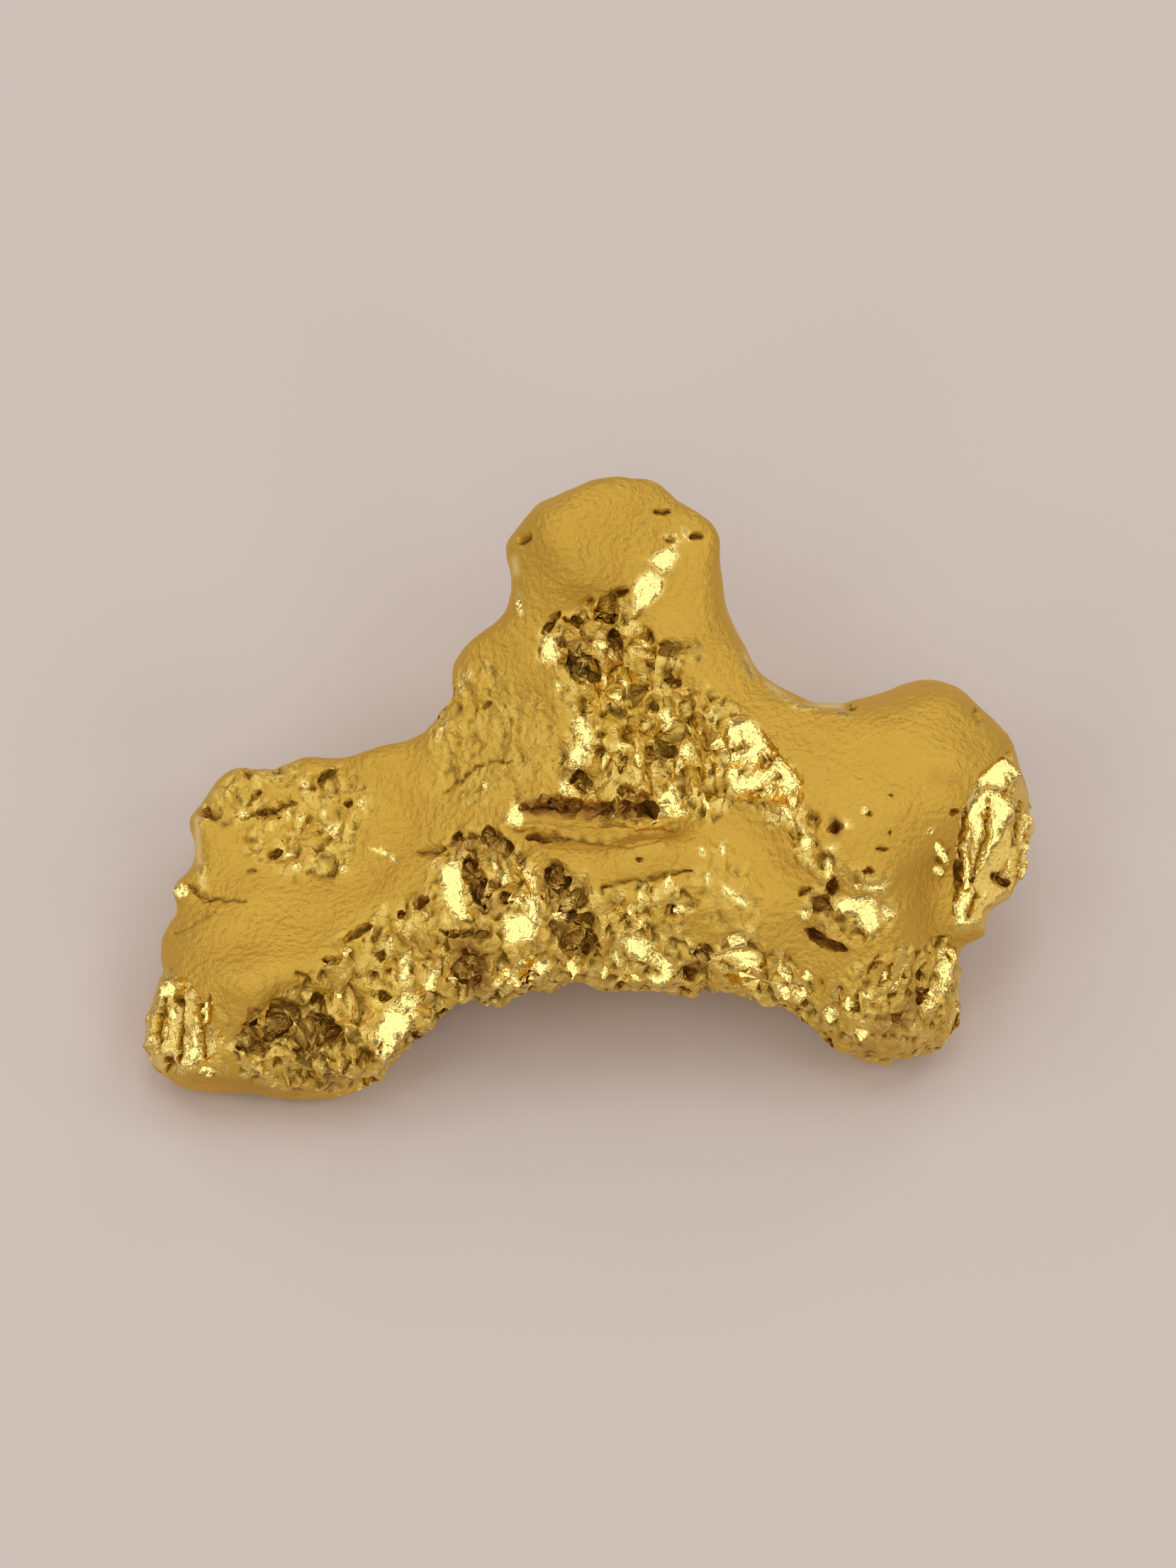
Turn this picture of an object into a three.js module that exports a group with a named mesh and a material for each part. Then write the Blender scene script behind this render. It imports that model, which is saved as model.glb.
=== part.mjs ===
// A small gold nugget, about nine millimetres long, built as the one solid lump that it is.
// Millimetres, +Z up. The nugget stands on three worn feet, with its blunt knob raised at the back (+Y)
// and its two arms spread to the left (-X) and right (+X). The origin is under the middle, on the ground.
//
// The lump is written as a field: the distance from any point to a set of rounded lobes that run into
// each other, less the hollows cut into them. The surface is where that field is zero.

import * as THREE from "three";

// Driving dimensions
const CELL = 0.18; // grid step of the surface, about the smallest form that it carries
const LOBE_BLEND = 0.38; // how softly one lobe runs into the next
const HOLLOW_BLEND = 0.14; // hollows have firmer edges than lobes
const WAVE_LENGTH = 1.5; // the slow unevenness of the whole skin
const WAVE_HEIGHT = 0.05;
// The grid's lowest and highest corners, clear of the nugget. The low one is set so that no cell of the
// grid is crossed twice, which would pinch the surface there.
const BOX_LOW = [-5.09, -3.4, -0.6];
const BOX_HIGH = [5, 3.6, 4.2];

// How the faces are evened out: rounds, how far a vertex goes to its neighbours' mean, and the step over
// which the field's slope is measured
const RELAX_ROUNDS = 3;
const RELAX_SHARE = 0.6;
const SLOPE_STEP = 0.01;
const LEAST_SLOPE = 0.5;

// Gold, as the photograph shows it
const gold = new THREE.MeshStandardMaterial({ color: 0xc9a43a, roughness: 0.35, metalness: 1 });

// Each lobe is a tapered round bar: its two ends, and the radius at each. The feet and the keel reach a
// little below the ground, at z = 0, and are worn flat there.
const LOBES = [
  { name: "knob", from: [-0.1, 2.1, 2.8], to: [0.5, 2.22, 2.87], radii: [0.7, 0.77] },
  { name: "left neck", from: [0.14, 1.9, 2.5], to: [-0.2, 1.1, 2.1], radii: [0.7, 0.8] },
  { name: "right neck", from: [0.6, 1.85, 2.5], to: [1.24, 0.74, 2.15], radii: [0.72, 0.66] },
  { name: "left rafter", from: [-0.46, 0.84, 2.0], to: [-1.22, -0.38, 1.72], radii: [0.85, 0.88] },
  { name: "body", from: [0.15, 0.5, 1.55], to: [0.7, -0.4, 1.45], radii: [0.95, 0.95] },
  { name: "crossbar", from: [-0.5, -1.0, 1.48], to: [1.6, -1.0, 1.45], radii: [0.7, 0.68] },
  { name: "apron", from: [-0.4, -1.38, 1.22], to: [1.8, -1.33, 1.2], radii: [0.5, 0.52] },
  { name: "boss", from: [-1.02, -1.44, 1.52], to: [-0.87, -1.6, 1.22], radii: [0.54, 0.5] },
  { name: "boss root", from: [-1.35, -1.5, 1.2], to: [-2.2, -2.0, 0.78], radii: [0.45, 0.5] },
  { name: "keel", from: [-0.75, 0.45, 1.15], to: [0.75, 1.0, 0.84], radii: [0.78, 0.9] },
  { name: "heel", from: [0.55, 1.05, 1.0], to: [0.42, 1.95, 2.25], radii: [0.85, 0.72] },
  { name: "left ridge", from: [-1.1, -0.45, 1.7], to: [-3.3, -1.7, 1.0], radii: [0.88, 0.62] },
  { name: "left shelf", from: [-1.7, 0.22, 1.3], to: [-3.45, 0.0, 0.98], radii: [0.6, 0.58] },
  { name: "left web", from: [-1.6, -0.6, 1.25], to: [-3.2, -0.75, 1.0], radii: [0.7, 0.52] },
  { name: "left end", from: [-3.7, -0.8, 0.85], to: [-3.85, -1.9, 0.72], radii: [0.45, 0.52] },
  { name: "left foot", from: [-3.95, -2.1, 0.46], to: [-2.6, -2.17, 0.5], radii: [0.52, 0.58] },
  { name: "plateau", from: [1.6, 0.12, 1.85], to: [3.1, -0.05, 1.85], radii: [0.8, 0.9] },
  { name: "right knob", from: [3.45, 0.47, 1.85], to: [3.74, 0.18, 1.75], radii: [0.74, 0.74] },
  { name: "ear", from: [4.02, -0.1, 1.45], to: [3.88, -0.92, 1.2], radii: [0.48, 0.42] },
  { name: "right leg", from: [2.6, -0.8, 1.6], to: [2.95, -1.7, 0.8], radii: [0.85, 0.66] },
  { name: "right foot", from: [3.06, -1.68, 0.48], to: [3.3, -1.62, 0.48], radii: [0.56, 0.56] },
  { name: "right web", from: [1.8, -1.35, 1.1], to: [2.85, -1.66, 0.8], radii: [0.5, 0.48] },
];

// Each hollow is cut away, and has the same form as a lobe. A hollow much larger than the nugget leaves a
// nearly flat face.
const HOLLOWS = [
  { name: "valley left", from: [0.3, 1.05, 3.08], to: [-0.12, -0.3, 2.82], radii: [0.42, 0.52] },
  { name: "valley right", from: [0.42, 1.05, 3.08], to: [1.0, -0.3, 2.76], radii: [0.42, 0.6] },
  { name: "knob pocket", from: [0.0, 1.3, 3.2], to: [0.75, 1.24, 3.14], radii: [0.36, 0.32] },
  { name: "scarp foot", from: [1.2, -0.5, 2.7], to: [2.0, -1.35, 2.5], radii: [0.42, 0.42] },
  { name: "slit", from: [-0.58, -0.6, 2.25], to: [0.82, -0.6, 2.19], radii: [0.2, 0.18] },
  { name: "boss hollow", from: [-0.92, -2.28, 1.6], to: [-0.88, -2.28, 1.3], radii: [0.3, 0.26] },
  { name: "boss notch", from: [-0.4, -1.97, 2.2], to: [-0.34, -2.02, 1.2], radii: [0.26, 0.2] },
  { name: "left scoop", from: [-1.75, -1.95, 1.72], to: [-2.9, -2.45, 1.38], radii: [0.42, 0.46] },
  { name: "shelf pit", from: [-2.6, 0.1, 2.0], to: [-3.1, 0.05, 1.85], radii: [0.3, 0.28] },
  { name: "right pit", from: [2.15, -1.5, 2.27], to: [2.55, -1.55, 2.17], radii: [0.28, 0.3] },
  { name: "plateau face", from: [2.2, 0.2, 8.6], to: [3.0, -0.4, 8.55], radii: [6, 6] },
  { name: "ridge face", from: [-2.8, -1.0, 6.55], to: [-3.4, -0.6, 6.35], radii: [5, 5] },
  { name: "front face", from: [-0.2, -4.93, 5.1], to: [1.4, -4.93, 5.1], radii: [4.6, 4.6] },
  { name: "ear face", from: [9.0, -0.6, 3.7], to: [9.0, -1.0, 3.5], radii: [5, 5] },
  { name: "back face", from: [-3.0, 3.25, 1.8], to: [-3.6, 3.1, 1.6], radii: [2.5, 2.5] },
  { name: "saddle back", from: [2.2, 2.1, 0.6], to: [3.4, 2.2, 0.5], radii: [1.25, 1.25] },
  { name: "left under", from: [-1.6, -0.7, -0.45], to: [-2.6, -0.4, -0.4], radii: [0.85, 0.75] },
  { name: "right under", from: [1.5, -0.6, -0.5], to: [2.7, -0.1, -0.4], radii: [0.95, 0.85] },
];

const asBar = ({ from, to, radii }) => ({
  start: new THREE.Vector3(...from),
  end: new THREE.Vector3(...to),
  radii,
});
const lobes = LOBES.map(asBar);
const hollows = HOLLOWS.map(asBar);

// The distance from a point to a tapered round bar, below zero inside it
const along = new THREE.Vector3();
const across = new THREE.Vector3();

function barDistance(point, bar) {
  along.subVectors(bar.end, bar.start);
  across.subVectors(point, bar.start);
  const share = THREE.MathUtils.clamp(across.dot(along) / along.lengthSq(), 0, 1);
  const radius = THREE.MathUtils.lerp(bar.radii[0], bar.radii[1], share);
  return across.addScaledVector(along, -share).length() - radius;
}

// The smaller of two distances, with the corner between them rounded over the blend
function softMin(a, b, blend) {
  const overlap = Math.max(blend - Math.abs(a - b), 0) / blend;
  return Math.min(a, b) - (overlap * overlap * blend) / 4;
}

const softMax = (a, b, blend) => -softMin(-a, -b, blend);

// A slow wave in all three directions, so that no lobe looks turned on a lathe. Each sine is bent by a
// slower one along another axis, which keeps the swells from lining up.
function wave({ x, y, z }) {
  const turn = (2 * Math.PI) / WAVE_LENGTH;
  const bend = (place) => Math.sin(place * turn * 0.7);
  return (
    Math.sin(x * turn + 1.3 * bend(y)) *
    Math.sin(y * turn * 1.1 + 0.9 * bend(z)) *
    Math.cos(z * turn * 0.9 + 1.1 * bend(x))
  );
}

function field(point) {
  let distance = Infinity;
  for (const lobe of lobes) distance = softMin(distance, barDistance(point, lobe), LOBE_BLEND);
  for (const hollow of hollows) distance = softMax(distance, -barDistance(point, hollow), HOLLOW_BLEND);
  return distance + WAVE_HEIGHT * wave(point);
}

// A grid over the nugget's space, and the field's value at each of its points
function sampledGrid(low, high, cell) {
  const counts = new THREE.Vector3().subVectors(high, low).divideScalar(cell).ceil().addScalar(1);
  const [nx, ny, nz] = counts.toArray();
  const placeOf = (i, j, k) => new THREE.Vector3(i, j, k).multiplyScalar(cell).add(low);
  const indexOf = (i, j, k) => i + nx * (j + ny * k);
  const values = new Float64Array(nx * ny * nz);
  const each = (first, visit) => {
    for (let k = first; k < nz - 1; k++)
      for (let j = first; j < ny - 1; j++) for (let i = first; i < nx - 1; i++) visit(i, j, k);
  };
  for (let k = 0; k < nz; k++)
    for (let j = 0; j < ny; j++)
      for (let i = 0; i < nx; i++) values[indexOf(i, j, k)] = field(placeOf(i, j, k));
  return { placeOf, indexOf, each, valueAt: (i, j, k) => values[indexOf(i, j, k)] };
}

const AXES = [[1, 0, 0], [0, 1, 0], [0, 0, 1]];
const CORNERS = [0, 1].flatMap((a) => [0, 1].flatMap((b) => [0, 1].map((c) => [a, b, c])));
const AROUND = [[0, 0], [1, 0], [1, 1], [0, 1]];

// Where the surface crosses the twelve edges of one cell
function crossingsOf({ placeOf, valueAt }, i, j, k) {
  const crossings = [];
  for (const [a, b, c] of CORNERS)
    for (const [da, db, dc] of AXES) {
      if (a + da > 1 || b + db > 1 || c + dc > 1) continue;
      const here = valueAt(i + a, j + b, k + c);
      const there = valueAt(i + a + da, j + b + db, k + c + dc);
      if (here < 0 === there < 0) continue;
      const share = here / (here - there);
      crossings.push(placeOf(i + a + da * share, j + b + db * share, k + c + dc * share));
    }
  return crossings;
}

// The surface of the field: one vertex in each cell that the surface crosses, at the middle of its
// crossings, and one quad round each grid edge that it crosses, with its face outwards.
function skin(grid) {
  const vertices = [];
  const vertexOfCell = new Map();
  grid.each(0, (i, j, k) => {
    const crossings = crossingsOf(grid, i, j, k);
    if (!crossings.length) return;
    const middle = new THREE.Vector3();
    for (const crossing of crossings) middle.addScaledVector(crossing, 1 / crossings.length);
    vertexOfCell.set(grid.indexOf(i, j, k), vertices.push(middle) - 1);
  });

  const quads = [];
  grid.each(1, (i, j, k) => {
    AXES.forEach(([da, db, dc], axis) => {
      const here = grid.valueAt(i, j, k);
      const there = grid.valueAt(i + da, j + db, k + dc);
      if (here < 0 === there < 0) return;
      const u = AXES[(axis + 1) % 3];
      const v = AXES[(axis + 2) % 3];
      const around = AROUND.map(([s, t]) => {
        const back = [0, 1, 2].map((n) => s * u[n] + t * v[n]);
        return vertexOfCell.get(grid.indexOf(i - back[0], j - back[1], k - back[2]));
      });
      quads.push(here < 0 ? around : around.reverse());
    });
  });
  return { vertices, quads };
}

// How far a place is from the surface, and which way the field rises there
function slopeAt(place) {
  const here = field(place);
  const rises = AXES.map(([a, b, c]) => {
    const probe = new THREE.Vector3(a, b, c).multiplyScalar(SLOPE_STEP).add(place);
    return (field(probe) - here) / SLOPE_STEP;
  });
  return { here, rise: new THREE.Vector3(...rises) };
}

// Moves each vertex towards the mean of its neighbours, then back onto the surface, so that the faces are
// even in size
function relax({ vertices, quads }) {
  const neighbours = vertices.map(() => new Set());
  for (const quad of quads)
    quad.forEach((v, n) => {
      neighbours[v].add(quad[(n + 1) % 4]);
      neighbours[v].add(quad[(n + 3) % 4]);
    });
  for (let round = 0; round < RELAX_ROUNDS; round++) {
    const moved = vertices.map((vertex, v) => {
      const mean = new THREE.Vector3();
      for (const n of neighbours[v]) mean.addScaledVector(vertices[n], 1 / neighbours[v].size);
      return vertex.clone().lerp(mean, RELAX_SHARE);
    });
    moved.forEach((place, v) => {
      const { here, rise } = slopeAt(place);
      const steepness = Math.max(rise.lengthSq(), LEAST_SLOPE ** 2);
      vertices[v].copy(place.addScaledVector(rise, -here / steepness));
    });
  }
}

// Wears the feet flat: what reaches below the ground is pressed up to it.
function wearFlat({ vertices }) {
  for (const vertex of vertices) vertex.z = Math.max(vertex.z, 0);
}

// Each quad is split along its shorter diagonal.
function geometryOf({ vertices, quads }) {
  const triangles = quads.flatMap(([a, b, c, d]) => {
    const acShorter = vertices[a].distanceTo(vertices[c]) < vertices[b].distanceTo(vertices[d]);
    return acShorter ? [a, b, c, a, c, d] : [a, b, d, b, c, d];
  });
  return new THREE.BufferGeometry().setFromPoints(vertices).setIndex(triangles);
}

const surface = skin(sampledGrid(new THREE.Vector3(...BOX_LOW), new THREE.Vector3(...BOX_HIGH), CELL));
relax(surface);
wearFlat(surface);
const nuggetGeometry = geometryOf(surface);

// The origin goes under the middle of the nugget.
nuggetGeometry.computeBoundingBox();
const middle = nuggetGeometry.boundingBox.getCenter(new THREE.Vector3());
nuggetGeometry.translate(-middle.x, -middle.y, 0);
nuggetGeometry.computeVertexNormals();

const nugget = new THREE.Mesh(nuggetGeometry, gold);
nugget.name = "nugget";

const part = new THREE.Group();
part.add(nugget);

export default part;
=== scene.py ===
# %% [markdown]
# A gold nugget is a lump of native metal that a river has rolled for a long time. Where stones hammered it,
# its skin is worn to a soft satin. In its hollows the old crystal faces are left, and they flash like small
# mirrors. This lesson builds that contrast: one worn lump, with rough bright hollows broken into it.
#
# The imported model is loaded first, as a fixed frame. Everything made here is set by its place and size.

# %% Load the frame
import bpy
import math
import numpy as np
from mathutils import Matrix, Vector, kdtree, noise


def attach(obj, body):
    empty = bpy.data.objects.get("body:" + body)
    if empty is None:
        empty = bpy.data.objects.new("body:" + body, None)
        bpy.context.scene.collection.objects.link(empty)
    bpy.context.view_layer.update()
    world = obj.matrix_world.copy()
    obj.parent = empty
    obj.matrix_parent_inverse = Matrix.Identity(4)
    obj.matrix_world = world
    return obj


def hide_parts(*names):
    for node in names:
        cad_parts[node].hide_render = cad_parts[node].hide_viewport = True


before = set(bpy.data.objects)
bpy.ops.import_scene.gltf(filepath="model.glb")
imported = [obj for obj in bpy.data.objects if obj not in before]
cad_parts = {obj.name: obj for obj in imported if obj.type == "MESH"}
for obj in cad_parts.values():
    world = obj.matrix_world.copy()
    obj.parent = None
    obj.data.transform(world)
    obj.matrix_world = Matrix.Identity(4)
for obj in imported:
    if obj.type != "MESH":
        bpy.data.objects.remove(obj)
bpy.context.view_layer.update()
MM = 0.001
print("frame nodes:", sorted(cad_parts))

# %% [markdown]
# The camera comes before the modelling, because the lumps and pits are placed by where the photograph shows
# them. The photograph looks down on the nugget from the front at about sixty degrees. This camera keeps
# that direction and distance, and only its lens is longer, so that the small nugget fills the picture.

# %% Camera at the photograph's viewing angle
PHOTO_SIZE = (1659, 2212)
PHOTO_FOCAL = 5321
NUGGET_PIXEL = (787.9, 1022.2)
VIEW_ELEVATION = math.radians(59.6)
VIEW_DISTANCE = 107.4 * MM
VIEW_TARGET = Vector((0, 0, 1.8 * MM))
CLOSER = 2.8
SENSOR = 36
CLIP_START = 1 * MM

toward_camera = Vector((0, -math.cos(VIEW_ELEVATION), math.sin(VIEW_ELEVATION)))
camera_data = bpy.data.cameras.new("photo_camera")
camera_data.sensor_width = SENSOR
camera_data.lens = SENSOR * PHOTO_FOCAL * CLOSER / PHOTO_SIZE[1]
camera_data.clip_start = CLIP_START
camera = bpy.data.objects.new("photo_camera", camera_data)
camera.location = VIEW_TARGET + toward_camera * VIEW_DISTANCE
camera.rotation_euler = (-toward_camera).to_track_quat("-Z", "Y").to_euler()
bpy.context.scene.collection.objects.link(camera)
bpy.context.scene.camera = camera
print("lens:", round(camera_data.lens, 1), "mm")

# %% [markdown]
# The lamps come early too. A crystal face flashes only when it is tilted halfway between the eye and a
# lamp, so the modelling has to know where the lamps are. One big lamp would light the satin skin well, but
# then nearly every crystal face would be bright. Soft panels with dark gaps between them give both: the
# matte skin averages them into one even tone, and the small mirrors pick out either a panel or a gap. The
# low ring only brightens the sides. The two higher rings are kept in a list, because the mirrors are turned
# to them.

# %% Soft studio light
PANEL_DISTANCE = 0.2
PANEL_SIZE = 0.075
PANEL_TONE = (1.0, 0.98, 0.95)
LOW_RING = {"elevation": 27, "azimuths": (30, 90, 150, 210, 270, 330), "radiance": 1.4}
MIDDLE_RING = {"elevation": 54, "azimuths": (0, 60, 120, 180, 240, 300), "radiance": 1.5}
TOP_PANEL = {"elevation": 84, "azimuths": (0,), "radiance": 1.6}
ROOM_TONE = (1.0, 0.81, 0.62, 1)
ROOM_STRENGTH = 0.28


def direction(azimuth, elevation):
    turn, rise = math.radians(azimuth), math.radians(elevation)
    return Vector((math.sin(turn) * math.cos(rise), math.cos(turn) * math.cos(rise), math.sin(rise)))


def soft_panel(name, toward, radiance):
    panel_data = bpy.data.lights.new(name, "AREA")
    panel_data.size = PANEL_SIZE
    panel_data.color = PANEL_TONE
    panel_data.energy = radiance * math.pi * PANEL_SIZE ** 2
    panel = bpy.data.objects.new(name, panel_data)
    panel.location = VIEW_TARGET + toward * PANEL_DISTANCE
    panel.rotation_euler = (-toward).to_track_quat("-Z", "Y").to_euler()
    bpy.context.scene.collection.objects.link(panel)


toward_panels = []
for ring in (LOW_RING, MIDDLE_RING, TOP_PANEL):
    for azimuth in ring["azimuths"]:
        toward = direction(azimuth, ring["elevation"])
        soft_panel(f"panel_{ring['elevation']}_{azimuth}", toward, ring["radiance"])
        if ring is not LOW_RING:
            toward_panels.append(np.array(toward))

studio = bpy.data.worlds.new("studio")
bpy.context.scene.world = studio
studio.use_nodes = True
room = studio.node_tree.nodes["Background"]
room.inputs["Color"].default_value = ROOM_TONE
room.inputs["Strength"].default_value = ROOM_STRENGTH
bpy.context.scene.view_settings.view_transform = "Standard"
print("panels that the mirrors are turned to:", len(toward_panels))

# %% [markdown]
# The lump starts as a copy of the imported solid, whose form and size are right. Its faces are too few for
# the fine surface, so it is given an even skin of small faces: joined, remeshed and softened. A voxel
# remesh can't go under a tenth of a millimetre, so the copy is worked on a thousand times larger, where one
# unit is one millimetre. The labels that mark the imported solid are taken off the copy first.

# %% A workable copy of the lump
ENLARGED = 1000
VOXEL = 0.07
MERGE_DISTANCE = 0.0005
SOFTEN_ROUNDS = 6
SOFTEN_SHARE = 0.5


def select_only(piece):
    bpy.ops.object.select_all(action="DESELECT")
    piece.select_set(True)
    bpy.context.view_layer.objects.active = piece


def scale_by(piece, factor):
    select_only(piece)
    bpy.ops.transform.resize(value=(factor, factor, factor), center_override=(0, 0, 0))
    bpy.ops.object.transform_apply(location=True, rotation=True, scale=True)


def finish_modifier(piece, kind, **settings):
    modifier = piece.modifiers.new(kind.lower(), kind)
    for key, value in settings.items():
        setattr(modifier, key, value)
    select_only(piece)
    bpy.ops.object.modifier_apply(modifier=modifier.name)


select_only(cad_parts["nugget"])
bpy.ops.object.duplicate()
lump = bpy.context.view_layer.objects.active
lump.name = "gold_lump"
lump.parent = None
for key in [key for key in lump.keys() if key.startswith("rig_")]:
    del lump[key]
lump.data.materials.clear()
scale_by(lump, ENLARGED)

bpy.ops.object.mode_set(mode="EDIT")
bpy.ops.mesh.select_all(action="SELECT")
bpy.ops.mesh.remove_doubles(threshold=MERGE_DISTANCE)
bpy.ops.object.mode_set(mode="OBJECT")
finish_modifier(lump, "REMESH", mode="VOXEL", voxel_size=VOXEL)
finish_modifier(lump, "SMOOTH", factor=SOFTEN_SHARE, iterations=SOFTEN_ROUNDS)
print("skin:", len(lump.data.vertices), "vertices,", len(lump.data.polygons), "faces")

# %% [markdown]
# Every mark on the nugget is placed by the pixel where the photograph shows it. A vertex is looked at from
# the photograph's camera, and its pixel is compared with an outline, a line or a spot in the photograph.
# Faces turned away from the camera take no part.

# %% From photograph to surface
view_back = np.array(toward_camera)
view_right = np.array((1.0, 0.0, 0.0))
view_up = np.cross(view_back, view_right)
camera_mm = np.array(camera.location) / MM
PIXELS_PER_MM = PHOTO_FOCAL / (VIEW_DISTANCE / MM)
FACING_SOFT = 0.3


def positions():
    co = np.empty(len(lump.data.vertices) * 3, np.float32)
    lump.data.vertices.foreach_get("co", co)
    return co.reshape(-1, 3).astype(float)


def normals():
    out = np.empty(len(lump.data.vertices) * 3, np.float32)
    lump.data.vertices.foreach_get("normal", out)
    return out.reshape(-1, 3).astype(float)


def move_to(co):
    lump.data.vertices.foreach_set("co", co.astype(np.float32).ravel())
    lump.data.update()


def photo_pixels(co):
    ray = co - camera_mm
    depth = -(ray @ view_back)
    x = NUGGET_PIXEL[0] + PHOTO_FOCAL * (ray @ view_right) / depth
    y = NUGGET_PIXEL[1] - PHOTO_FOCAL * (ray @ view_up) / depth
    return np.stack([x, y], 1)


def smoothstep(value):
    value = np.clip(value, 0, 1)
    return value * value * (3 - 2 * value)


def facing():
    return smoothstep((normals() @ view_back) / FACING_SOFT)


pixels = photo_pixels(positions())
print("pixels:", pixels.min(0).round(), pixels.max(0).round())

# %% [markdown]
# The copy's outline is close to the photograph's, but the knob is a little too plain and the left shoulder
# a little too thin. A sculptor would take the grab brush. Each row here is one grab: where it starts and
# ends in the photograph, and how far around it the metal follows. A shallow noise then gives the skin the
# gentle unevenness of metal that stones have hammered.

# %% Grab the outline into place
GRABS = {
    "knob_top_left": ((768, 880), (766, 877), 26),
    "knob_top": ((792, 872), (791, 868), 26),
    "knob_top_corner": ((835, 871), (832, 875), 20),
    "knob_left": ((748, 904), (745, 903), 14),
    "knob_right": ((850, 897), (854, 896), 20),
    "left_shoulder": ((730, 962), (722, 958), 32),
    "left_shoulder_low": ((714, 990), (711, 988), 22),
    "arm_top_tip": ((610, 1020), (611, 1015), 26),
    "arm_top_middle": ((644, 1012), (644, 1008), 30),
    "arm_end_upper": ((591, 1040), (588, 1040), 12),
    "arm_end_middle": ((586, 1075), (580, 1074), 15),
    "arm_end_lower": ((575, 1102), (572, 1102), 16),
    "saddle": ((885, 979), (883, 974), 20),
    "boss_left": ((727, 1134), (727, 1130), 18),
    "boss_right": ((758, 1133), (757, 1125), 20),
    "boss_notch": ((782, 1125), (780, 1121), 16),
    "ear_tip": ((997, 1090), (992, 1087), 14),
    "right_foot_side": ((976, 1126), (973, 1126), 16),
}
HAMMERED_GRAIN = 0.42
HAMMERED_DEPTH = 0.06


def grab(co, start, end, reach):
    start, end = np.array(start, float), np.array(end, float)
    weight = smoothstep(1 - np.linalg.norm(photo_pixels(co) - start, axis=1) / reach)
    step = (end - start) / PIXELS_PER_MM
    move = step[0] * view_right - step[1] * view_up
    return co + weight[:, None] * move


co = positions()
for start, end, reach in GRABS.values():
    co = grab(co, start, end, reach)
co[:, 2] = np.maximum(co[:, 2], 0)
move_to(co)
hammered = bpy.data.textures.new("hammered", "CLOUDS")
hammered.noise_scale = HAMMERED_GRAIN
finish_modifier(lump, "DISPLACE", texture=hammered, texture_coords="LOCAL", strength=HAMMERED_DEPTH)
print("grabs:", len(GRABS))

# %% [markdown]
# The rough hollows are outlined as closed shapes in the photograph's pixels. Each area also says how
# strongly it is broken up, from a faint grain to full crystals. The names are those of the nugget's own
# places: the knob at the back, the valley below it with its steep scarp, the slit, the boss, the scoop and
# the two feet.

# %% Outlines of the rough ground
ROUGH_AREAS = {
    "knob_pocket": (1.0, [(760, 946), (776, 937), (803, 928), (812, 934), (822, 949), (842, 950),
                          (846, 957), (832, 968), (815, 973), (786, 970), (768, 962)]),
    "valley_column": (1.0, [(770, 964), (810, 970), (812, 1000), (804, 1030), (774, 1032), (770, 1014),
                            (780, 990)]),
    "valley_right": (1.0, [(806, 968), (832, 966), (852, 978), (862, 1000), (862, 1024), (856, 1040),
                           (806, 1040)]),
    "scarp": (1.0, [(850, 974), (864, 985), (880, 1002), (892, 1022), (904, 1048), (914, 1062), (908, 1072),
                    (896, 1062), (884, 1046), (866, 1030), (856, 1022)]),
    "valley_left": (0.34, [(732, 984), (772, 974), (776, 1012), (752, 1028), (716, 1036), (706, 1028)]),
    "shoulder": (0.4, [(706, 978), (738, 956), (752, 972), (744, 1000), (714, 1014)]),
    "slit_bed": (0.8, [(748, 1026), (806, 1024), (846, 1026), (846, 1037), (748, 1038)]),
    "boss": (1.0, [(708, 1060), (722, 1046), (738, 1043), (752, 1051), (768, 1068), (772, 1092), (774, 1146),
                   (740, 1150), (700, 1150), (690, 1120), (702, 1102), (713, 1096)]),
    "notch": (0.8, [(764, 1058), (778, 1066), (796, 1078), (802, 1100), (802, 1146), (774, 1146),
                    (768, 1098)]),
    "apron_left": (1.0, [(796, 1076), (832, 1070), (842, 1082), (838, 1096), (852, 1110), (838, 1150),
                         (800, 1150)]),
    "apron_right": (1.0, [(846, 1110), (864, 1096), (884, 1106), (910, 1124), (898, 1160), (838, 1150)]),
    "apron_top": (0.35, [(838, 1066), (856, 1050), (878, 1078), (872, 1096), (846, 1096), (842, 1080)]),
    "left_scoop": (0.9, [(604, 1152), (624, 1134), (645, 1122), (660, 1106), (672, 1094), (690, 1084),
                         (704, 1077), (708, 1094), (700, 1108), (712, 1124), (706, 1150), (692, 1176),
                         (664, 1180), (620, 1173)]),
    "left_tip": (0.55, [(568, 1126), (580, 1114), (592, 1130), (608, 1146), (606, 1168), (592, 1172),
                        (564, 1170)]),
    "shelf": (0.6, [(590, 1034), (612, 1012), (640, 1015), (665, 1014), (682, 1032), (672, 1048),
                    (668, 1068), (640, 1068), (616, 1060), (604, 1044)]),
    "pit": (0.6, [(892, 1078), (905, 1070), (915, 1062), (940, 1066), (945, 1085), (936, 1100), (922, 1108),
                  (900, 1102)]),
    "ear": (0.35, [(988, 1018), (1001, 1008), (1008, 1028), (1012, 1042), (1010, 1058), (1000, 1080),
                   (986, 1096), (973, 1096), (974, 1074), (978, 1040)]),
    "right_foot": (0.7, [(902, 1128), (925, 1112), (945, 1104), (968, 1096), (978, 1110), (980, 1132),
                         (972, 1156), (946, 1168), (912, 1165), (898, 1146)]),
}
print("rough areas:", len(ROUGH_AREAS))

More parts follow.
